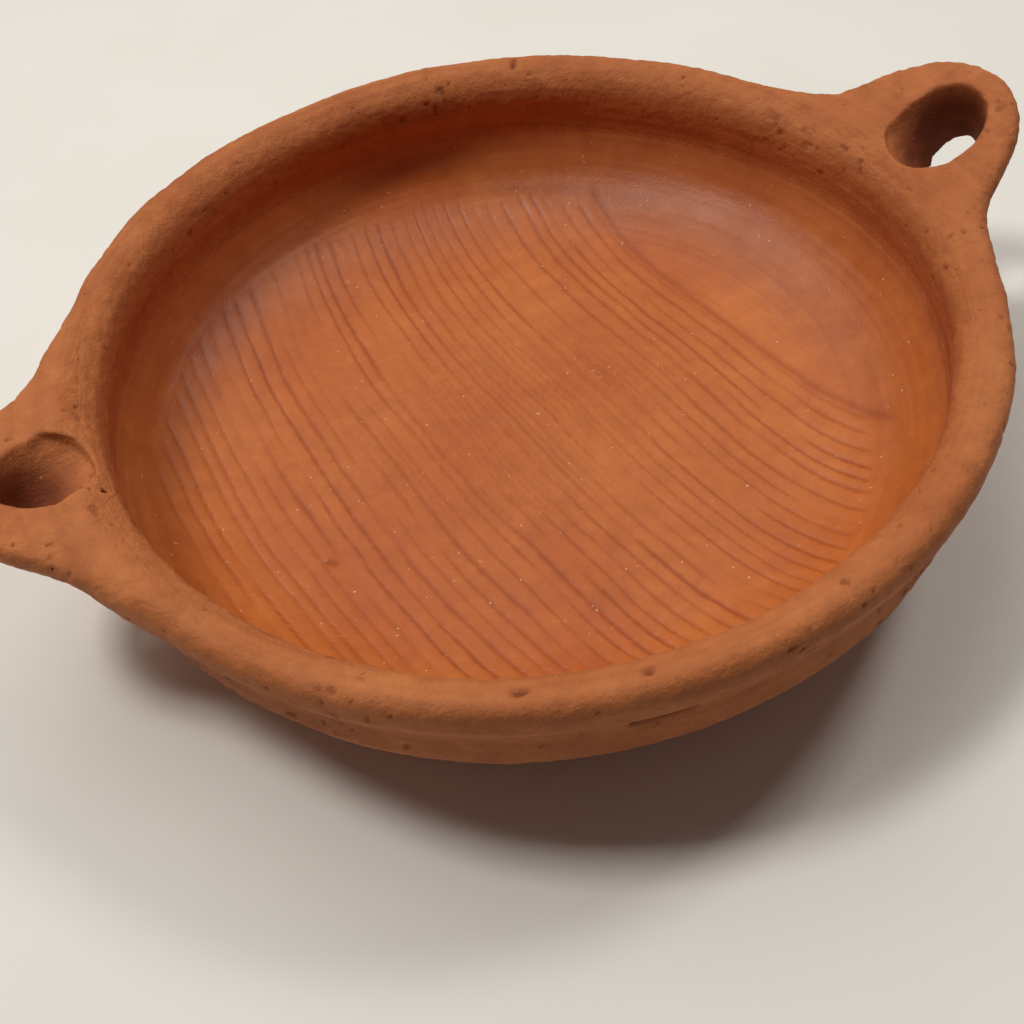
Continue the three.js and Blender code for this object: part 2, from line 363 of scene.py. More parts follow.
@dataclass(frozen=True)
class LugJoin:
    """How a lug's clay is smeared over the rim, in mm.

    The plate and the bowl are swept into one skin, over `sweep_inside` at the
    bowl's side of the rim and `sweep_outside` beyond it. The lug's own clay ends
    at a seam, where its share of that skin is `seam_share`; the coils' skin dives
    under it there and the lug's dives under theirs. Near its hole the lug's share
    is raised by `hole_share`, and a lining of lug clay runs down the hole. The
    plate stops at the radius `crest_limit` and draws back by `retreat` far to
    either side, and nothing is swept nearer the axis or the table than `reaches`.
    """

    sweep_inside: float = 1.5
    sweep_outside: float = 11.0
    sweep_from: float = 91.0
    sweep_to: float = 98.0
    seam_share: float = 0.15
    hole_share: float = 0.5
    hole_near: tuple[float, float] = (2.5, 6.0)
    coil_dive: float = 0.7
    coil_dive_ease: float = 0.1
    lug_dive: float = 1.5
    lining: float = 1.8
    lap: float = 1.0
    lap_edge: float = 0.8
    mouth_edge: float = 1.1
    plate_edge: float = 6.0
    crest_limit: float = 93.0
    crest_edge: float = 4.0
    retreat: float = 13.0
    retreat_across: tuple[float, float] = (34.0, 62.0)
    reaches: tuple[float, float] = (50.0, 18.0)


@dataclass
class Clay:
    """The dish as one body of clay: its section, its lugs and its hand marks.

    Every piece takes its surface from here, so pieces meet without a step.
    """

    section: Section
    lugs: tuple[LugShape, ...]
    cracks: tuple[Crack, ...]
    hand: HandMarks = HandMarks()
    join: LugJoin = LugJoin()
    line: Array = field(init=False)
    normal: Array = field(init=False)
    table: Array = field(init=False)
    # The table of distances: its spacing, its first radius and height, its size.
    TABLE_STEP = 0.25
    TABLE_LOW = (70.0, 18.0)
    TABLE_SIZE = (240, 160)
    # Each wave of the wobble: its size in mm, its count round the dish, its start.
    SWELL = ((0.55, 2.0, -0.6), (0.3, 3.0, 1.1))
    RISE = ((0.35, 2.0, 1.9), (0.2, 5.0, 0.4))
    # Strokes before their widths and depths repeat, which is more than the floor has.
    STROKES = 128
    # The drum that the wiping streaks are read on, and their lengths and widths.
    ROUND_RADIUS = 90.0
    COARSE_STREAK = (46.0, 46.0, 1.9)
    FINE_STREAK = (22.0, 22.0, 0.8)
    # Where a lug's hole stops widening and narrowing, and where a lug's mesh is made.
    FLARE_HEIGHT = 1.5
    PINHOLE = (1.2, 1.6)
    ROUGH_BAND = 3.0
    LUG_BOX = ((68.0, -66.0, 18.5), (132.0, 66.0, 64.0))

    def __post_init__(self) -> None:
        """Works out the outline, its normals and a table of distances from it."""
        self.line = self.section.outline()
        tangent = unit(np.gradient(self.line, axis=0))
        self.normal = np.stack([tangent[:, 1], -tangent[:, 0]], -1)
        self.table = self.distances()

    def distances(self) -> Array:
        """Signed distance to the outline over a grid of (radius, height), in mm.

        The nearest outline point is found for each grid point, and the sign is
        that of the offset along that point's normal, positive outside the clay.
        """
        sparse = slice(None, None, 4)
        line, normal = self.line[sparse], self.normal[sparse]
        radius = self.TABLE_LOW[0] + self.TABLE_STEP * np.arange(self.TABLE_SIZE[0])
        height = self.TABLE_LOW[1] + self.TABLE_STEP * np.arange(self.TABLE_SIZE[1])
        grid = np.stack(np.meshgrid(radius, height, indexing="ij"), -1)
        gap = grid[:, :, None, :] - line[None, None]
        square = (gap * gap).sum(-1)
        near = square.argmin(-1)
        offset = np.take_along_axis(gap, near[..., None, None], 2)[:, :, 0]
        return (offset * normal[near]).sum(-1)

    def station(self, test: Array) -> float:
        """Length along the outline, in mm, of the first point where `test` holds."""
        return float(np.argmax(test)) * OUTLINE_STEP

    def on_outline(self, along: Array) -> tuple[Array, Array]:
        """Outline points and normals at lengths along it, in mm."""
        place = np.asarray(along) / OUTLINE_STEP
        index = np.arange(len(self.line))
        point = np.stack([np.interp(place, index, self.line[:, k]) for k in (0, 1)], -1)
        normal = np.stack([np.interp(place, index, self.normal[:, k]) for k in (0, 1)], -1)
        return point, unit(normal)

    def skin(self, along: Array, turn: Array) -> tuple[Array, dict[str, Array]]:
        """The bowl's surface at lengths along the outline and turns round the axis.

        The outline point is carried round the axis, lifted along its normal by the
        relief there, and then shifted by the wobble of the hand.

        Args:
            along: lengths along the outline, in mm.
            turn: turns round the axis from +X, in radians, of the same shape.

        Returns:
            The points, and the colour cues at each of them.
        """
        flat, lean = self.on_outline(along)
        way = np.stack([np.cos(turn), np.sin(turn)], -1)
        point = np.concatenate([flat[..., :1] * way, flat[..., 1:]], -1)
        normal = np.concatenate([lean[..., :1] * way, lean[..., 1:]], -1)
        relief, cues = self.marks(point, normal)
        lift = relief + self.swept_lift(point)
        return self.wobbled(point + normal * lift[..., None]), cues

    def swept_lift(self, points: Array) -> Array:
        """How far a lug's sweep lifts the coils' skin, in mm.

        With p the sweep's height, b how far the lug's share passes the seam's and e
        the dive's ease, the lift is p - b (1 + b / e): it follows the sweep up to the
        seam, and beyond it dives under the lug's own clay, `coil_dive` deep at most.
        """
        join = self.join
        side_from, height_from = join.reaches
        lift = np.zeros(points.shape[:-1])
        for lug in self.lugs:
            near = (points[..., 0] * lug.side > side_from) & (points[..., 2] > height_from)
            blended, dish = self.swept(points[near], lug)
            beyond = np.maximum(self.owned(points[near], blended, dish, lug) - join.seam_share, 0.0)
            dive = beyond * (1.0 + beyond / join.coil_dive_ease)
            lift[near] = np.maximum(dish - blended - dive, -join.coil_dive)
        return lift

    def wobbled(self, points: Array) -> Array:
        """Points shifted as an uneven hand leaves them, more the higher they are.

        The shifts outwards and upwards are sums of size cos(count turn + start).
        """
        turn = np.arctan2(points[..., 1], points[..., 0])
        share = np.clip(points[..., 2] / self.section.height, 0.0, 1.2)[..., None]
        swell = sum(size * np.cos(count * turn + start) for size, count, start in self.SWELL)
        rise = sum(size * np.cos(count * turn + start) for size, count, start in self.RISE)
        way = np.stack([np.cos(turn), np.sin(turn), np.zeros_like(turn)], -1)
        up = np.array([0.0, 0.0, 1.0])
        return points + share * (swell[..., None] * way + rise[..., None] * up)

    # ------------------------------------------------------------ tool marks

    def across(self, points: Array) -> Array:
        """Stroke coordinate on the floor, in mm across the pebble's strokes.

        With m the bow's middle it is x - bow (y - m)^2, less a fan that grows towards
        +X and levels off with -Y, plus a slow and a quick drift of the hand.
        """
        hand = self.hand
        x, y = points[..., 0], points[..., 1]
        bowed = x - hand.bow * (y - hand.bow_middle) ** 2
        fan = hand.fan * np.maximum(bowed - hand.fan_start, 0.0)
        slow = 1.1 * LUMPS.at(points * [1.0, 0.45, 0.0], 17.0)
        quick = 0.3 * LUMPS.at(points * [1.0, 0.6, 0.0], 5.0)
        level = np.tanh((hand.bow_middle - y) / hand.fan_length)
        return bowed - fan * hand.fan_reach * level + (slow + quick)

    def strokes(self, points: Array, across: Array, pitch: float, seed: int) -> tuple[Array, Array]:
        """Grooves between neighbouring strokes.

        Args:
            points: places in mm.
            across: stroke coordinate there.
            pitch: mm from one stroke to the next.
            seed: chooses each stroke's own width, depth and place.

        Returns:
            Groove depth, 0 to 1, a narrow bell on each stroke's edge, and the crown
            of the strokes, 0 in their middle and 1 at their edges.
        """
        draw = np.random.default_rng(seed)
        count = np.round(across / pitch)
        order = count.astype(int) % self.STROKES
        jitter = draw.uniform(-0.16, 0.16, self.STROKES)[order]
        width = draw.uniform(0.09, 0.16, self.STROKES)[order] * pitch
        depth = draw.uniform(0.5, 1.0, self.STROKES)[order]
        gap = across - (count + jitter) * pitch
        lane = points * [1.0, 0.16, 0.0] + count[..., None] * 9.1
        broken = smoothstep(-0.8, -0.05, TOOL.at(lane, 5.0))
        ragged = 1.0 + 0.5 * GRIT.at(points, 1.2)
        groove_and_shade = np.exp(-((gap / (width * ragged)) ** 2)) * depth * broken
        return groove_and_shade, np.clip(1.0 - 2.0 * np.abs(gap) / pitch, 0.0, 1.0) ** 2

    def rounds(self, points: Array) -> Array:
        """Streaks that follow the wall round, from about -1 to 1.

        Two patterns are read on a drum of one radius, whose height is the point's
        radius plus its height, so that each streak keeps its ring.
        """
        turn = np.arctan2(points[..., 1], points[..., 0])
        radius = np.hypot(points[..., 0], points[..., 1])
        round_x, round_y = self.ROUND_RADIUS * np.cos(turn), self.ROUND_RADIUS * np.sin(turn)
        unrolled = np.stack([round_x, round_y, radius + points[..., 2]], -1)
        coarse = TOOL.at(unrolled, self.COARSE_STREAK)
        fine = TOOL.at(unrolled + 50.0, self.FINE_STREAK)
        return 0.65 * coarse + 0.45 * fine

    def pits(self, points: Array) -> Array:
        """Small pits and tears where grit fell out or the clay dragged, 0 to 1.

        They are the highest parts of two fine patterns, thickest in some patches.
        """
        patch = smoothstep(0.0, 0.55, LUMPS.at(points + 90.0, 12.0))
        small = smoothstep(0.80 - 0.12 * patch, 0.90 - 0.08 * patch, GRIT.at(points + 7.3, 1.3))
        torn = smoothstep(0.62, 0.78, GRIT.at(points + 60.0, 2.6)) * patch
        return np.maximum(small, torn)

    def hand_relief(self, points: Array, matt: Array | float) -> Array:
        """Relief that the hand leaves, in mm: lumps, grain, pits and wiping streaks.

        It is strongest where `matt` is 1, on clay that was only wiped.
        """
        hand = self.hand
        lumps = hand.lump_lift * LUMPS.layered(points, hand.lump_width, 3)
        grain = hand.grain_lift * GRIT.layered(points, hand.grain_width, 2)
        torn = hand.streak_lift * self.rounds(points) - hand.pit_depth * self.pits(points)
        return lumps * (0.4 + matt) + grain * (0.2 + matt) + matt * torn

    def marks(self, point: Array, normal: Array) -> tuple[Array, dict[str, Array]]:
        """Relief and colour cues of a surface point.

        Inside the bowl the pebble's grooves, the crowns of its strokes and the seam
        are cut into what the hand left; the wall and the corner keep wiping streaks;
        and the cracks are cut in last.

        Args:
            point: (..., 3) places in mm before the wobble.
            normal: unit normals there.

        Returns:
            The relief along the normal in mm, and groove, streak, polish, bare and
            pit, each from about 0 to 1.
        """
        hand, hollow, height = self.hand, self.section.hollow[1], point[..., 2]
        radius = np.hypot(point[..., 0], point[..., 1])
        faces_in = normal[..., 0] * point[..., 0] + normal[..., 1] * point[..., 1] < 0.35 * radius
        low = 1.0 - smoothstep(hollow + 2.0, hollow + 7.0, height)
        bowl = low * faces_in * (height > self.section.floor_thickness - 2.0)
        across = self.across(point)
        edge = radius + 1.6 * LUMPS.at(point, 9.0) + 0.05 * point[..., 0]
        stroked = 1.0 - smoothstep(*hand.strokes_end, across)
        floor = bowl * (1.0 - smoothstep(*hand.floor_edge, edge)) * stroked
        wide, crown = self.strokes(point, across, hand.wide_pitch, 5)
        close, _ = self.strokes(point, across, hand.close_pitch, 9)
        middle = 1.0 - smoothstep(*hand.floor_middle, radius + 12.0 * LUMPS.at(point, 21.0))
        groove_and_shade = floor * (wide * (1.0 - 0.65 * middle) + 0.5 * close * middle)
        line = np.exp(-(((across - hand.seam) / hand.seam_width) ** 2))
        seam = bowl * line * (1.0 - smoothstep(*hand.seam_edge, radius))
        streak = self.rounds(point) * (1.0 - 0.9 * floor)
        corner = bowl * smoothstep(*hand.corner, radius)
        bare = 1.0 - bowl * (1.0 - smoothstep(hollow - 10.0, hollow - 2.0, height))
        crowned = (hand.crown_depth + hand.corner_crown_depth * corner) * floor * crown * (1.0 - middle)
        relief = self.hand_relief(point, 1.0 - bowl) - hand.groove_depth * groove_and_shade - crowned
        relief = relief + hand.wall_streak_lift * streak * (bowl * (1.0 - floor)) - hand.seam_depth * seam
        opened = np.stack([crack.at(point) for crack in self.cracks])
        relief = relief - sum(crack.depth * bell for crack, bell in zip(self.cracks, opened))
        return relief, {
            "groove_and_shade": np.maximum(np.maximum(groove_and_shade, 0.6 * seam), opened.max(0)),
            "streak": 0.5 + 0.5 * streak,
            "polish": corner - 0.7 * bare,
            "bare": bare,
            "pit": self.pits(point) * (1.0 - 0.85 * bowl),
        }

    # ------------------------------------------------------------- the lugs

    def dish_distance(self, points: Array) -> Array:
        """Distance outside the bowl's plain skin, in mm.

        It is blended from the table's four places round each point.
        """
        radius = np.hypot(points[..., 0], points[..., 1])
        place = np.stack([radius, points[..., 2]], -1)
        spot = (place - self.TABLE_LOW) / self.TABLE_STEP
        spot = np.clip(spot, 0.0, np.array(self.TABLE_SIZE) - 1.001)
        low = np.floor(spot).astype(int)
        share = spot - low
        total = np.zeros(points.shape[:-1])
        for i, j in np.ndindex(2, 2):
            by_radius = share[..., 0] if i else 1.0 - share[..., 0]
            by_height = share[..., 1] if j else 1.0 - share[..., 1]
            total += by_radius * by_height * self.table[low[..., 0] + i, low[..., 1] + j]
        return total

    def lug_centre(self, lug: LugShape) -> Array:
        """The middle of a lug's hole at its mouth."""
        out = self.section.rim_radius + lug.reach
        return np.array([lug.side * out, lug.shift, self.section.height + lug.rise])

    def hole_distance(self, points: Array, lug: LugShape, rough: bool = True) -> Array:
        """Distance outside the hole's tapering wall, in mm, negative inside the hole.

        The wall is an oval cone about a leaning axis: its radii are those of the
        mouth plus the taper times the height, and it is uneven as a finger leaves it.
        It stops widening just over the mouth and narrowing at a pinhole far below.
        """
        place = lug.local(points, self.lug_centre(lug), lug.lean)
        swing = math.radians(lug.swing)
        along = place[..., 0] * math.cos(swing) + place[..., 1] * math.sin(swing)
        across = place[..., 1] * math.cos(swing) - place[..., 0] * math.sin(swing)
        height = np.minimum(place[..., 2], self.FLARE_HEIGHT)
        radius = np.maximum(lug.mouth_across + lug.taper * height, self.PINHOLE[0])
        stretch = radius / np.maximum(lug.mouth + lug.taper * height, self.PINHOLE[1])
        distance = np.hypot(along * stretch, across) - radius
        if rough:
            distance = distance + (0.4 * LUMPS.at(points + lug.seed, 7.0) + 0.2 * GRIT.at(points, 2.3))
        return distance

    def plate_distance(self, points: Array, lug: LugShape) -> Array:
        """Distance outside a lug's plate, in mm.

        In plan the plate is a round head joined to the rim's circle by hollow
        sweeps, drawn in by the square of the depth and far to either side. It is the
        smooth greater of that, its top and underside, and a limit at the rim's crest.
        """
        join = self.join
        place = lug.local(points, self.lug_centre(lug), lug.tilt)
        out, across, up = place[..., 0], place[..., 1], place[..., 2]
        axis = -(self.section.rim_radius + lug.reach) / math.cos(math.radians(lug.tilt))
        head = np.hypot(out, across - lug.head_shift) - lug.head
        rim = np.hypot(out - axis, across + lug.shift) - self.section.rim_radius
        share = np.clip(-up / lug.thickness, 0.0, 1.2)
        retreat = join.retreat * smoothstep(*join.retreat_across, np.abs(across))
        plan = smooth_min(head, rim, lug.fillet) + lug.undercut * share * share + retreat
        depth = np.abs(up + lug.thickness / 2.0) - lug.thickness / 2.0
        inward = join.crest_limit - np.hypot(points[..., 0], points[..., 1])
        return smooth_max(smooth_max(plan, depth, join.plate_edge), inward, join.crest_edge)

    def swept(self, points: Array, lug: LugShape) -> tuple[Array, Array]:
        """The bowl and a lug's plate as one skin.

        Returns:
            Distance outside the common skin, and outside the bowl's alone, in mm.
        """
        join = self.join
        dish = self.dish_distance(points)
        radius = np.hypot(points[..., 0], points[..., 1])
        outside = smoothstep(join.sweep_from, join.sweep_to, radius)
        width = join.sweep_inside + (join.sweep_outside - join.sweep_inside) * outside
        return smooth_min(dish, self.plate_distance(points, lug), width), dish

    def owned(self, points: Array, blended: Array, dish: Array, lug: LugShape) -> Array:
        """The lug's share of the skin: its height over the bowl's, more beside the hole."""
        beside = 1.0 - smoothstep(*self.join.hole_near, self.hole_distance(points, lug, False))
        return dish - blended + self.join.hole_share * beside

    def lug_field(self, points: Array, lug: LugShape, rough: bool) -> Array:
        """The lug's own clay: negative inside it, in mm.

        It has the common skin where its share is above the seam's; short of that
        the skin dives as the square of the shortfall, under the coils'. Their clay
        is left out but for a lap of it and a lining of the hole, and the edges of
        all three are a little rounded.
        """
        join = self.join
        blended, dish = self.swept(points, lug)
        short = np.clip(1.0 - self.owned(points, blended, dish, lug) / join.seam_share, 0.0, 1.0)
        skin = blended + join.lug_dive * short * short
        if rough:
            skin = skin - self.hand_relief(points, 1.0)
        hole = self.hole_distance(points, lug, rough)
        coil = np.maximum(dish + join.lap, join.lining - hole)
        return smooth_max(smooth_max(skin, -hole, join.mouth_edge), -coil, join.lap_edge)

    def lug_surface(self, lug: LugShape, step: float) -> tuple[Array, Array]:
        """The lug's skin as a net of quads.

        The field is sampled on a box, again with the hand's unevenness near the
        skin, and the net's vertices are settled by Newton steps along its slope.
        """
        low, high = np.array(self.LUG_BOX)
        if lug.side < 0.0:
            low[0], high[0] = -high[0], -low[0]
        axes = [np.arange(low[k], high[k], step) for k in range(3)]
        grid = np.stack(np.meshgrid(*axes, indexing="ij"), -1)
        values = self.lug_field(grid, lug, False)
        near = np.abs(values) < self.ROUGH_BAND
        values[near] = self.lug_field(grid[near], lug, True)
        points, quads = largest_part(*net_surface(untangled(values), low, step))
        reach, longest = 0.1, 0.35 * step
        for _ in range(2):
            here = self.lug_field(points, lug, True)
            ahead = [self.lug_field(points + reach * way, lug, True) for way in np.eye(3)]
            behind = [self.lug_field(points - reach * way, lug, True) for way in np.eye(3)]
            slope = (np.stack(ahead, -1) - np.stack(behind, -1)) / (2.0 * reach)
            shift = here[:, None] * slope / np.maximum((slope * slope).sum(-1, keepdims=True), 0.2)
            points = points - np.clip(shift, -longest, longest)
        return points, quads


def untangled(values: Array) -> Array:
    """Samples in which no square has corners that alternate inside and outside.

    Such a square would pinch the net into an edge with four quads, so its inside
    corners are moved just outside. Four rounds settle the squares that share them.
    """
    values = values.copy()
    for axis in [0, 1, 2] * 4:
        one, two = (axis + 1) % 3, (axis + 2) % 3
        corners = []
        for a, b in ((0, 0), (1, 0), (1, 1), (0, 1)):
            pick = [slice(None)] * 3
            pick[one] = slice(a, values.shape[one] - 1 + a)
            pick[two] = slice(b, values.shape[two] - 1 + b)
            corners.append(values[tuple(pick)])
        inside = [corner < 0.0 for corner in corners]
        crossed = (inside[0] == inside[2]) & (inside[1] == inside[3]) & (inside[0] != inside[1])
        for corner, within in zip(corners, inside):
            corner[crossed & within] = 0.02
    return values


def largest_part(points: Array, quads: Array) -> tuple[Array, Array]:
    """The largest connected part of a net, its vertices numbered afresh.

    Each vertex takes the lowest number among its quads' corners, then the number of
    the vertex that it points to, until nothing changes.
    """
    label = np.arange(len(points))
    settled = False
    while not settled:
        fresh = label.copy()
        np.minimum.at(fresh, quads, label[quads].min(1)[:, None])
        fresh = fresh[fresh]
        settled = bool((fresh == label).all())
        label = fresh
    kept = label == np.bincount(label).argmax()
    number = np.cumsum(kept) - 1
    return points[kept], number[quads[kept[quads[:, 0]]]]


def net_surface(values: Array, low: Array, step: float) -> tuple[Array, Array]:
    """The surface where a sampled field is 0, as quads between neighbouring cells.

    A cell that the surface crosses gets one vertex, the mean of the crossings of
    its twelve edges. Each grid edge that is crossed gets a quad of the four cells
    round it, turned so that it faces where the field is positive.

    Args:
        values: (a, b, c) samples.
        low: the first sample's place.
        step: the samples' spacing.

    Returns:
        The vertices and the quads.
    """
    inside = values < 0.0
    shape = np.array(values.shape)
    total = np.zeros((*(shape - 1), 3))
    count = np.zeros(shape - 1)
    for axis in range(3):
        ends = [slice(None)] * 3
        starts = [slice(None)] * 3
        starts[axis], ends[axis] = slice(None, -1), slice(1, None)
        first, second = values[tuple(starts)], values[tuple(ends)]
        crossed = inside[tuple(starts)] != inside[tuple(ends)]
        share = np.where(crossed, first / np.where(crossed, first - second, 1.0), 0.0)
        others = [k for k in range(3) if k != axis]
        for shift in np.ndindex(2, 2):
            pick = [slice(None)] * 3
            for k, other in enumerate(others):
                pick[other] = slice(shift[k], values.shape[other] - 1 + shift[k])
            hit = crossed[tuple(pick)]
            count += hit
            total[..., axis] += np.where(hit, share[tuple(pick)], 0.0)
            for k, other in enumerate(others):
                total[..., other] += hit * shift[k]
    used = count > 0
    number = np.full(count.shape, -1)
    number[used] = np.arange(used.sum())
    corner = np.stack(np.nonzero(used), -1)
    vertices = low + step * (corner + total[used] / count[used][:, None])
    quads = []
    for axis in range(3):
        one, two = (axis + 1) % 3, (axis + 2) % 3
        starts = [slice(1, -1)] * 3
        ends = [slice(1, -1)] * 3
        starts[axis], ends[axis] = slice(0, -1), slice(1, None)
        first, second = inside[tuple(starts)], inside[tuple(ends)]
        for out_first in (True, False):
            hit = np.stack(np.nonzero((first != second) & (first == out_first)), -1)
            base = hit + 1
            base[:, axis] -= 1
            ring = []
            for a, b in ((0, 0), (1, 0), (1, 1), (0, 1)):
                cell = base.copy()
                cell[:, one] -= a
                cell[:, two] -= b
                ring.append(number[cell[:, 0], cell[:, 1], cell[:, 2]])
            quads.append(np.stack(ring if out_first else ring[::-1], -1))
    return vertices, np.concatenate(quads)


# -------------------------------------------------------------------- the meshes

# A joint's faces meet the skin at an edge that turns by more than this, left sharp.
JOINT_EDGE = math.radians(50.0)


def make_object(name: str, vertices: Array, quads: Array, marks: dict[str, Array]) -> bpy.types.Object:
    """A smooth-shaded mesh object from arrays in mm.

    Args:
        name: the piece's name.
        vertices: (n, 3) places in mm.
        quads: (m, 4) corners; a triangle repeats its last corner.
        marks: one value for each vertex, stored as attributes for the material.

    Returns:
        The object, linked to the scene, at the origin.
    """
    mesh = bpy.data.meshes.new(name)
    triangle = quads[:, 2] == quads[:, 3]
    sizes = np.where(triangle, 3, 4)
    corners = quads[np.arange(4)[None] < sizes[:, None]]
    mesh.vertices.add(len(vertices))
    mesh.vertices.foreach_set("co", (vertices * MM).astype(np.float32).ravel())
    mesh.loops.add(len(corners))
    mesh.loops.foreach_set("vertex_index", corners.astype(np.int32))
    mesh.polygons.add(len(quads))
    starts = np.concatenate([[0], np.cumsum(sizes)[:-1]])
    mesh.polygons.foreach_set("loop_start", starts.astype(np.int32))
    mesh.update(calc_edges=True)
    mesh.validate()
    mesh.polygons.foreach_set("use_smooth", np.ones(len(mesh.polygons), bool))
    for label, value in marks.items():
        layer = mesh.attributes.new(label, "FLOAT", "POINT")
        layer.data.foreach_set("value", value.astype(np.float32).ravel())
    obj = bpy.data.objects.new(name, mesh)
    bpy.context.scene.collection.objects.link(obj)
    return obj


def grid_quads(rows: int, columns: int, closed_rows: bool, closed_columns: bool) -> Array:
    """Quads of a grid of vertices numbered row by row, wrapped where it is closed."""
    row = np.arange(rows if closed_rows else rows - 1)[:, None]
    column = np.arange(columns if closed_columns else columns - 1)[None]
    next_row, next_column = (row + 1) % rows, (column + 1) % columns
    corner = [row * columns + column, row * columns + next_column]
    corner += [next_row * columns + next_column, next_row * columns + column]
    shape = len(row), column.shape[1]
    return np.stack([np.broadcast_to(c, shape) for c in corner], -1).reshape(-1, 4)


@dataclass
class Coil:
    """A ring of clay: a closed section carried round the axis.

    The section runs along an outer stretch of the outline, across a joint, along
    an inner stretch and back across the other joint.
    """

    name: str
    node: str
    slot: Slot
    clay: Clay
    outer: tuple[float, float]
    inner: tuple[float, float] | None
    step: float = 0.6
    turns: int = 960
    JOINT_ROWS = 4
    # How far behind a lug's hole the coil stays, and where the hole is looked for.
    BITE = 1.5
    BITE_FROM_X = 60.0
    BITE_BELOW = 6.0

    def stretch(self, span: tuple[float, float]) -> Array:
        """Lengths along the outline over a stretch, about `step` apart."""
        count = max(int(round((span[1] - span[0]) / self.step)), 2)
        return np.linspace(span[0], span[1], count + 1)

    def skin(self, span: tuple[float, float]) -> tuple[Array, dict[str, Array]]:
        """The clay's surface over a stretch of the outline, all the way round."""
        turn = np.arange(self.turns) * TAU / self.turns
        return self.clay.skin(*np.meshgrid(self.stretch(span), turn, indexing="ij"))

    def build(self) -> bpy.types.Object:
        """The coil's mesh, with its joints straight between the two stretches."""
        share = np.linspace(0.0, 1.0, self.JOINT_ROWS + 2)[1:-1, None, None]
        outer, cue = self.skin(self.outer)
        blank = {key: np.zeros((self.JOINT_ROWS, self.turns)) for key in cue}
        rows, cues = [outer], [cue]
        if self.inner:
            inner, inner_cue = self.skin(self.inner)
            rows += [outer[-1] + share * (inner[0] - outer[-1]), inner]
            cues += [blank, inner_cue]
        last = rows[-1][-1]
        rows.append(last + share * (outer[0] - last))
        cues.append(blank)
        points = self.bitten(np.concatenate(rows))
        quads = grid_quads(len(points), self.turns, True, True)
        joined = {key: np.concatenate([part[key] for part in cues]).ravel() for key in cue}
        obj = make_object(self.name, points.reshape(-1, 3), quads, joined)
        obj.data.set_sharp_from_angle(angle=JOINT_EDGE)
        return obj

    def bitten(self, points: Array) -> Array:
        """Points that a lug's hole reaches, pushed straight out to behind its lining."""
        for lug in self.clay.lugs:
            centre = self.clay.lug_centre(lug)
            place = lug.local(points, centre, lug.lean)
            need = self.BITE - self.clay.hole_distance(points, lug)
            beside = points[..., 0] * lug.side > self.BITE_FROM_X
            above = place[..., 2] > -lug.thickness - self.BITE_BELOW
            out, across, _ = lug.axes(lug.lean)
            way = unit(place[..., :1] * out + place[..., 1:2] * across)
            points = points + np.where((need > 0.0) & beside & above, need, 0.0)[..., None] * way
        return points


@dataclass
class Slab:
    """The floor slab: a fine floor above, and the base and belly's foot below."""

    name: str
    node: str
    slot: Slot
    clay: Clay
    outer: tuple[float, float]
    floor_from: float
    side: int = 272
    belly_rings: int = 12
    joint_rings: int = 3
    base_rings: int = 8

    def disc(self) -> tuple[Array, Array]:
        """Radius, as a share of the floor's, and turn of the floor's grid of points.

        A square grid (u, v) is pressed into a disc by x = u sqrt(1 - v^2 / 2) and
        y = v sqrt(1 - u^2 / 2), so its cells stay even.
        """
        line = np.linspace(-1.0, 1.0, self.side)
        u, v = np.meshgrid(line, line, indexing="ij")
        x = u * np.sqrt(1.0 - v * v / 2.0)
        y = v * np.sqrt(1.0 - u * u / 2.0)
        return np.minimum(np.hypot(x, y), 1.0), np.arctan2(y, x)

    def rings(self, edge: Array, around: Array) -> tuple[Array, dict[str, Array]]:
        """The rings below the floor's border: down the joint, up the belly, in to the middle.

        Args:
            edge: (n, 3) the border's points.
            around: the border's turns.

        Returns:
            (rings, n, 3) points, and the belly's colour cues with none elsewhere.
        """
        span = np.linspace(self.outer[1], self.outer[0], self.belly_rings)
        belly, cues = self.clay.skin(*np.meshgrid(span, around, indexing="ij"))
        down = np.linspace(0.0, 1.0, self.joint_rings + 2)[1:-1, None, None]
        joint = edge + down * (belly[0] - edge)
        inward = np.linspace(1.0, 0.0, self.base_rings + 2)[1:-1, None, None]
        base = belly[-1] * np.array([1.0, 1.0, 0.0]) * inward
        points = np.concatenate([joint, belly, base])
        points[..., 2] = np.maximum(points[..., 2], 0.0)
        padding = (self.joint_rings, self.base_rings), (0, 0)
        return points, {key: np.pad(value, padding) for key, value in cues.items()}

    def build(self) -> bpy.types.Object:
        """The slab's mesh: the floor's grid, and rings that close it underneath.

        The rings start from the grid's border and end in a fan at the middle of
        the base.
        """
        n = self.side
        share, turn = self.disc()
        end = (len(self.clay.line) - 1) * OUTLINE_STEP
        top, marks = self.clay.skin(end - share * (end - self.floor_from), turn)
        top = top.reshape(-1, 3)
        index = np.arange(n * n).reshape(n, n)
        border = np.concatenate([index[:-1, 0], index[-1, :-1], index[:0:-1, -1], index[0, :0:-1]])
        rings, ring_marks = self.rings(top[border], turn.ravel()[border])
        ring_count, width = rings.shape[:2]
        fresh = n * n + np.arange(ring_count * width).reshape(ring_count, width)
        number = np.concatenate([border[None], fresh])
        right = np.roll(number, -1, axis=1)
        strips = np.stack([number[:-1], number[1:], right[1:], right[:-1]], -1).reshape(-1, 4)
        middle = np.full(width, n * n + ring_count * width)
        fan = np.stack([number[-1], middle, right[-1], right[-1]], -1)
        face = grid_quads(n, n, False, False)[:, ::-1]
        points = np.concatenate([top, rings.reshape(-1, 3), [[0.0, 0.0, 0.0]]])
        quads = np.concatenate([face, strips, fan])
        cues = {key: np.concatenate([marks[key].ravel(), ring_marks[key].ravel(), [0.0]]) for key in marks}
        obj = make_object(self.name, points, quads, cues)
        obj.data.set_sharp_from_angle(angle=JOINT_EDGE)
        return obj


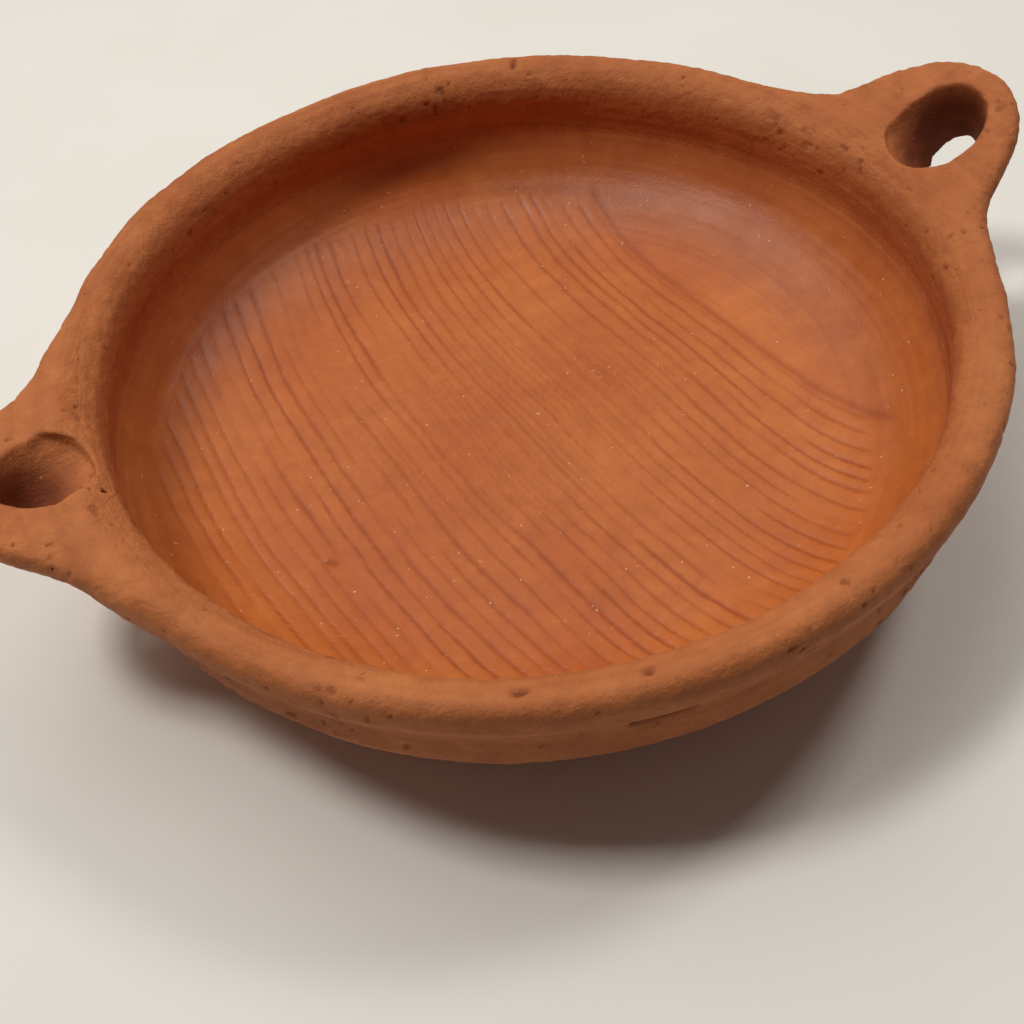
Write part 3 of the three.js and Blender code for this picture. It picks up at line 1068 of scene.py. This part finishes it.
@dataclass
class Lug:
    """A lug pressed onto the rim and pierced, smeared into the coil round it."""

    node: str
    slot: Slot
    clay: Clay
    shape: LugShape
    step: float = 0.5
    # The hole's wall gets painted shade this near it and this deep, in mm.
    SHADE_NEAR = (0.1, 0.9)
    SHADE = (-7.0, 1.0)

    def build(self) -> bpy.types.Object:
        """The lug's mesh: the zero surface of its field, settled by Newton steps."""
        points, quads = self.clay.lug_surface(self.shape, self.step)
        marks = self.marks(points)
        points = self.clay.wobbled(points)
        return make_object(self.shape.name, points, quads, marks)

    def marks(self, points: Array) -> dict[str, Array]:
        """Colour cues: streaks and pits as on the rim, and painted shade on the wall of the hole."""
        hole = self.clay.hole_distance(points, self.shape)
        depth = self.shape.local(points, self.clay.lug_centre(self.shape), self.shape.lean)[:, 2]
        # Painted shade: the hole's wall is darkened, more the deeper it goes, in place of the shade inside
        # the hole.
        wall = (1.0 - smoothstep(*self.SHADE_NEAR, hole)) * (1.0 - smoothstep(*self.SHADE, depth))
        return {
            # The painted shade of the hole rides on the same mark as the grooves and takes the worn
            # colour.
            "groove_and_shade": wall,
            "streak": 0.5 + 0.5 * self.clay.rounds(points),
            "polish": np.zeros(len(points)),
            "bare": np.ones(len(points)),
            "pit": self.clay.pits(points),
        }


# ------------------------------------------------------------------- the finishes


def linear(code: str) -> tuple[float, float, float, float]:
    """An sRGB hex colour as linear red, green, blue and a full alpha."""
    parts = [int(code[k : k + 2], 16) / 255.0 for k in (1, 3, 5)]
    shades = [p / 12.92 if p <= 0.04045 else ((p + 0.055) / 1.055) ** 2.4 for p in parts]
    return shades[0], shades[1], shades[2], 1.0


def add_node(tree: bpy.types.NodeTree, kind: str, links: dict, **settings) -> bpy.types.Node:
    """Adds a node.

    Args:
        tree: the material's nodes.
        kind: Blender's name for the node.
        links: input name or number -> a value, or an output socket to join to it.
        settings: the node's own properties.

    Returns:
        The new node.
    """
    node = tree.nodes.new(kind)
    for key, value in settings.items():
        setattr(node, key, value)
    for key, value in links.items():
        socket = node.inputs[key]
        if isinstance(value, bpy.types.NodeSocket):
            tree.links.new(value, socket)
        else:
            socket.default_value = value
    return node


@dataclass(frozen=True)
class Pattern:
    """A noise with features `size` mm across, spread from `low`..`high` to 0..1."""

    size: float
    detail: float
    roughness: float
    low: float
    high: float


@dataclass(frozen=True)
class FiredClay:
    """Low-fired terracotta, unglazed. Widths and depths are in mm.

    `light` and `mid` cloud the burnished clay, and `bare_light` and `bare_mid` the
    clay that was only wiped. `dark` is where the hand or the smoke browned it,
    `worn_and_shade` is what shows in grooves and cracks and, on the walls of the
    lugs' holes, painted shade, and `speck` is its grit. Polished places lose
    `polish` of their roughness. The grain is `grain` mm across, and `grain_lift`
    is its strength.
    """

    name: str
    light: str
    mid: str
    dark: str
    bare_light: str
    bare_mid: str
    worn_and_shade: str
    speck: str
    roughness: float
    gloss: float
    polish: float
    grain: float
    grain_lift: float
    IOR = 1.5
    CLOUD = Pattern(38.0, 4.0, 0.6, 0.32, 0.68)
    MOTTLE = Pattern(6.5, 6.0, 0.7, 0.3, 0.7)
    RUBBED = Pattern(9.0, 5.0, 0.65, 0.25, 0.75)
    # Only the peaks of this one show, as specks of grit well under a millimetre wide.
    GRIT = Pattern(1.1, 1.0, 0.5, 0.765, 0.80)
    # How strongly each pattern and mark tints the clay, from 0 to 1.
    MOTTLE_TINT = 0.4
    STREAK_TINT = 0.3
    GROOVE_AND_SHADE_TINT = 0.92
    PIT_TINT = 0.7
    GRIT_TINT = 0.6
    ROUGHER = 0.08
    SMOOTHER = 0.07
    GRAIN_DEPTH = 0.35

    def material(self) -> bpy.types.Material:
        """The finish as a node material on Object coordinates and the tool's marks."""
        made = bpy.data.materials.new(self.name)
        made.use_nodes = True
        tree = made.node_tree
        shader = tree.nodes["Principled BSDF"]
        place = add_node(tree, "ShaderNodeTexCoord", {}).outputs["Object"]

        def noise(size: float, detail: float, rough: float) -> bpy.types.NodeSocket:
            """A noise whose features are about `size` mm across."""
            links = {"Vector": place, "Scale": 1.0 / (size * MM), "Detail": detail, "Roughness": rough}
            return add_node(tree, "ShaderNodeTexNoise", links).outputs["Fac"]

        def ramp(value: bpy.types.NodeSocket, low: float, high: float) -> bpy.types.NodeSocket:
            """A value spread from `low`..`high` to 0..1."""
            links = {"Value": value, "From Min": low, "From Max": high}
            return add_node(tree, "ShaderNodeMapRange", links, clamp=True).outputs["Result"]

        def spread(pattern: Pattern) -> bpy.types.NodeSocket:
            """A pattern's noise, spread to 0..1."""
            return ramp(noise(pattern.size, pattern.detail, pattern.roughness), pattern.low, pattern.high)

        def times(value: bpy.types.NodeSocket, factor: float) -> bpy.types.NodeSocket:
            """A value scaled by a factor."""
            return add_node(tree, "ShaderNodeMath", {0: value, 1: factor}, operation="MULTIPLY").outputs[0]

        def mixed(share: bpy.types.NodeSocket, under, over) -> bpy.types.NodeSocket:
            """Two colours mixed by a share."""
            links = {0: share, 6: under, 7: over}
            return add_node(tree, "ShaderNodeMix", links, data_type="RGBA").outputs[2]

        def mark(label: str) -> bpy.types.NodeSocket:
            """One of the tool's marks, stored on the vertices."""
            return add_node(tree, "ShaderNodeAttribute", {}, attribute_name=label).outputs["Fac"]

        mid = mixed(mark("bare"), linear(self.mid), linear(self.bare_mid))
        light = mixed(mark("bare"), linear(self.light), linear(self.bare_light))
        base = mixed(spread(self.CLOUD), mid, light)
        streak = ramp(mark("streak"), 0.45, 0.95)
        base = mixed(times(spread(self.MOTTLE), self.MOTTLE_TINT), base, linear(self.dark))
        base = mixed(times(streak, self.STREAK_TINT), base, linear(self.dark))
        # Grooves, the seam and cracks take the worn colour here, and on the lugs the same mark is painted
        # shade on the walls of the holes.
        base = mixed(times(mark("groove_and_shade"), self.GROOVE_AND_SHADE_TINT), base, linear(self.worn_and_shade))
        base = mixed(times(mark("pit"), self.PIT_TINT), base, linear(self.dark))
        base = mixed(times(spread(self.GRIT), self.GRIT_TINT), base, linear(self.speck))
        tree.links.new(base, shader.inputs["Base Color"])

        low, high = self.roughness - self.SMOOTHER, self.roughness + self.ROUGHER
        ends = {"Value": spread(self.RUBBED), "To Min": low, "To Max": high}
        uneven = add_node(tree, "ShaderNodeMapRange", ends).outputs["Result"]
        polish = {0: uneven, 1: times(mark("polish"), self.polish)}
        rubbed = add_node(tree, "ShaderNodeMath", polish, operation="SUBTRACT")
        tree.links.new(rubbed.outputs[0], shader.inputs["Roughness"])
        shader.inputs["Specular IOR Level"].default_value = self.gloss
        shader.inputs["IOR"].default_value = self.IOR

        height = noise(self.grain, 4.0, 0.7)
        lift = {"Height": height, "Strength": self.grain_lift, "Distance": self.GRAIN_DEPTH * MM}
        fine = add_node(tree, "ShaderNodeBump", lift)
        tree.links.new(fine.outputs["Normal"], shader.inputs["Normal"])
        return made


@dataclass(frozen=True)
class TablePaint:
    """Matt off-white painted board, slightly uneven, which gives the pale ground."""

    name: str = "painted_board"
    light: str = "#eeebe5"
    dark: str = "#e5e1d9"
    cloud_scale: float = 16.0
    roughness: float = 0.8

    def material(self) -> bpy.types.Material:
        """The board's paint, faintly clouded, about 60 mm across at a scale of 16 per metre."""
        made = bpy.data.materials.new(self.name)
        made.use_nodes = True
        tree = made.node_tree
        shader = tree.nodes["Principled BSDF"]
        place = add_node(tree, "ShaderNodeTexCoord", {}).outputs["Object"]
        links = {"Vector": place, "Scale": self.cloud_scale, "Detail": 5.0}
        cloud = add_node(tree, "ShaderNodeTexNoise", links)
        tones = {0: cloud.outputs["Fac"], 6: linear(self.light), 7: linear(self.dark)}
        shade = add_node(tree, "ShaderNodeMix", tones, data_type="RGBA")
        tree.links.new(shade.outputs[2], shader.inputs["Base Color"])
        shader.inputs["Roughness"].default_value = self.roughness
        return made


BARE_LIGHT = "#cb7c46"
BARE_MID = "#ba6a39"

# Terracotta rubbed with a pebble when leather-hard: a saturated orange skin with a
# dull sheen, glossiest round the corner of the floor, and dark lines between strokes.
BURNISHED_TERRACOTTA = FiredClay(
    name="burnished_terracotta",
    light="#ca7436",
    mid="#ba6028",
    dark="#94421b",
    bare_light=BARE_LIGHT,
    bare_mid=BARE_MID,
    worn_and_shade="#93400e",
    speck="#e8c9a8",
    roughness=0.58,
    gloss=0.36,
    polish=0.2,
    grain=0.7,
    grain_lift=0.35,
)

# Terracotta wiped with a wet hand: a paler, matt and sandy skin that scatters light,
# with a coarser grain and browner pits.
WIPED_TERRACOTTA = FiredClay(
    name="wiped_terracotta",
    light=BARE_LIGHT,
    mid=BARE_MID,
    dark="#833e1c",
    bare_light=BARE_LIGHT,
    bare_mid=BARE_MID,
    # This colour also paints shade on the walls of the lugs' holes.
    worn_and_shade="#6c2c10",
    speck="#cf9468",
    roughness=0.72,
    gloss=0.3,
    polish=0.0,
    grain=0.9,
    grain_lift=1.0,
)


# --------------------------------------------------------------------- the studio


@dataclass(frozen=True)
class Softbox:
    """A square soft light: its way from the dish on the camera's side, mm and watts."""

    name: str
    way: tuple[float, float, float]
    far: float
    size: float
    power: float
    tint: tuple[float, float, float] = (1.0, 0.975, 0.935)

    def light(self) -> bpy.types.Object:
        """The light, not yet placed."""
        data = bpy.data.lights.new(self.name, "AREA")
        data.size = self.size * MM
        data.energy = self.power
        data.color = self.tint
        return bpy.data.objects.new(self.name, data)


@dataclass(frozen=True)
class Studio:
    """The table, soft lights and the camera round the dish, in mm and degrees."""

    turn: float = -20.6
    elevation: float = 50.5
    roll: float = -6.66
    distance: float = 264.35
    target: tuple[float, float] = (-6.52, -19.8)
    lens: float = 40.08
    sensor: float = 36.0
    nearest: float = 10.0
    table_half: float = 1500.0
    room_tint: tuple[float, float, float, float] = (1.0, 0.97, 0.93, 1.0)
    room_strength: float = 0.07
    softboxes: tuple[Softbox, ...] = (
        Softbox("left_panel", (-0.43, 0.05, 0.90), 900.0, 170.0, 3.4),
        Softbox("right_panel", (0.49, 0.30, 0.83), 900.0, 170.0, 2.1),
        Softbox("ceiling_bounce", (-0.25, 0.45, 1.0), 1300.0, 1100.0, 6.5),
    )

    def turned(self, vector: Vector) -> Vector:
        """A camera-side direction or place turned into the row frame."""
        return Matrix.Rotation(math.radians(self.turn), 3, "Z") @ vector

    def camera(self) -> None:
        """Sets the camera: it looks down at the dish over its near rim, rolled a little."""
        up_angle, roll = math.radians(self.elevation), math.radians(self.roll)
        back = Vector((0.0, -math.cos(up_angle), math.sin(up_angle)))
        level = Vector((1.0, 0.0, 0.0))
        lifted = back.cross(level)
        right = level * math.cos(roll) + lifted * math.sin(roll)
        up = lifted * math.cos(roll) - level * math.sin(roll)
        place = Vector((*self.target, 0.0)) + back * self.distance
        columns = [self.turned(v) for v in (right, up, back)]
        matrix = Matrix(columns).transposed().to_4x4()
        matrix.translation = self.turned(place) * MM
        data = bpy.data.cameras.new("camera")
        data.lens = self.lens
        data.sensor_width = self.sensor
        data.clip_start = self.nearest * MM
        camera = bpy.data.objects.new("camera", data)
        camera.matrix_world = matrix
        bpy.context.scene.collection.objects.link(camera)
        bpy.context.scene.camera = camera

    def place(self, softbox: Softbox) -> None:
        """Hangs a soft light where it belongs, facing the dish."""
        light = softbox.light()
        direction = self.turned(Vector(softbox.way).normalized())
        light.location = direction * softbox.far * MM
        light.rotation_euler = direction.to_track_quat("Z", "Y").to_euler()
        bpy.context.scene.collection.objects.link(light)

    def table(self) -> None:
        """A square board under the dish."""
        half = self.table_half * MM
        mesh = bpy.data.meshes.new("table")
        corners = [(-half, -half, 0.0), (half, -half, 0.0), (half, half, 0.0), (-half, half, 0.0)]
        mesh.from_pydata(corners, [], [(0, 1, 2, 3)])
        mesh.materials.append(TablePaint().material())
        table = bpy.data.objects.new("table", mesh)
        bpy.context.scene.collection.objects.link(table)

    def build(self) -> None:
        """Makes the table, the lights, the dim room and the camera."""
        self.table()
        for softbox in self.softboxes:
            self.place(softbox)
        world = bpy.data.worlds.new("room")
        world.use_nodes = True
        background = world.node_tree.nodes["Background"]
        background.inputs["Color"].default_value = self.room_tint
        background.inputs["Strength"].default_value = self.room_strength
        bpy.context.scene.world = world
        bpy.context.scene.view_settings.view_transform = "Standard"
        self.camera()


# ----------------------------------------------------------------------- the dish


LEFT_LUG = LugShape(
    name="left_lug_pierced",
    side=-1.0,
    reach=2.8,
    shift=0.0,
    rise=0.8,
    tilt=13.0,
    lean=30.0,
    mouth=9.9,
    mouth_across=8.9,
    swing=0.0,
    taper=0.74,
    head=14.4,
    head_shift=0.3,
    thickness=10.5,
    undercut=5.0,
    fillet=56.0,
    seed=3,
)
RIGHT_LUG = LugShape(
    name="right_lug_pierced",
    side=1.0,
    reach=6.6,
    shift=-0.8,
    rise=4.6,
    tilt=25.0,
    lean=33.0,
    mouth=12.2,
    mouth_across=10.0,
    swing=28.0,
    taper=0.365,
    head=14.9,
    head_shift=2.8,
    thickness=14.5,
    undercut=8.0,
    fillet=80.0,
    seed=8,
)
# Cracks and pits that stand out: on the outer wall at the front, the crest at the
# back, the rim at the front, and the floor at the left.
CRACKS = (
    Crack((-24.9, -93.1, 33.0), (-14.2, -95.4, 34.0), 0.7, 0.6),
    Crack((-11.8, -95.7, 34.6), (-5.9, -96.2, 34.9), 0.4, 0.3),
    Crack((41.5, 87.5, 46.8), (39.0, 83.5, 46.3), 0.7, 0.8),
    Crack((-41.6, -85.5, 46.6), (-40.6, -85.7, 46.6), 0.9, 0.8),
    Crack((-21.7, -92.7, 46.6), (-21.7, -92.7, 46.6), 0.9, 0.7),
    Crack((-56.4, -16.6, 9.5), (-55.6, -17.4, 9.5), 0.9, 0.5),
)


def dish_parts(clay: Clay) -> list[Slab | Coil | Lug]:
    """The dish's pieces, each knowing the CAD node that it stands for.

    Joints are found on the outline as lengths along it: the slab's and the keel's
    outside and inside, and the rim's at the waist and under the roll.
    """
    line, section = clay.line, clay.section
    inner = np.arange(len(line)) > int(np.argmax(line[:, 1]))
    reach = section.base_radius + section.slab_joint_reach
    slab_out = clay.station(~inner & (line[:, 0] > reach))
    keel_out = clay.station(line[:, 1] > section.keel[1])
    waist_out = clay.station(line[:, 1] > section.waist[1])
    rim_in = clay.station(inner & (line[:, 1] < section.waist[1] + section.wall_joint_slant))
    keel_in = clay.station(inner & (line[:, 1] < section.hollow[1] - section.wall_joint_slant))
    slab_in = clay.station(inner & (line[:, 0] < reach - section.slab_joint_lean))
    burnished, wiped = Slot.BURNISHED, Slot.WIPED
    slab_span, floor_from = (0.0, slab_out), slab_in
    lower, lower_in = (slab_out, keel_out), (keel_in, slab_in)
    upper, upper_in = (keel_out, waist_out), (rim_in, keel_in)
    return [
        Slab("floor_slab_burnished", "floor_slab", burnished, clay, slab_span, floor_from),
        Coil("lower_wall_burnished", "lower_wall_coil", burnished, clay, lower, lower_in, step=0.64),
        Coil("upper_wall_smoothed", "upper_wall_coil", wiped, clay, upper, upper_in),
        Coil("rim_roll_wiped", "rim_coil", wiped, clay, (waist_out, rim_in), None, step=0.5),
        Lug("left_lug", wiped, clay, LEFT_LUG),
        Lug("right_lug", wiped, clay, RIGHT_LUG),
    ]


def main() -> None:
    """Builds the studio, then each piece of the dish, and gives it body, node and finish."""
    logging.basicConfig(level=logging.INFO, format="%(message)s")
    Studio().build()
    rim_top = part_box("rim_coil")[1]
    section = Section(rim_radius=rim_top.x / MM, height=rim_top.z / MM)
    clay = Clay(section, (LEFT_LUG, RIGHT_LUG), CRACKS)
    finishes = {
        Slot.BURNISHED: BURNISHED_TERRACOTTA.material(),
        Slot.WIPED: WIPED_TERRACOTTA.material(),
    }
    for part in dish_parts(clay):
        piece = part.build()
        piece.data.materials.append(finishes[part.slot])
        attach(piece, "root")
        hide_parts(part.node)
        LOG.info("%s: %d faces", piece.name, len(piece.data.polygons))


if __name__ == "__main__":
    main()
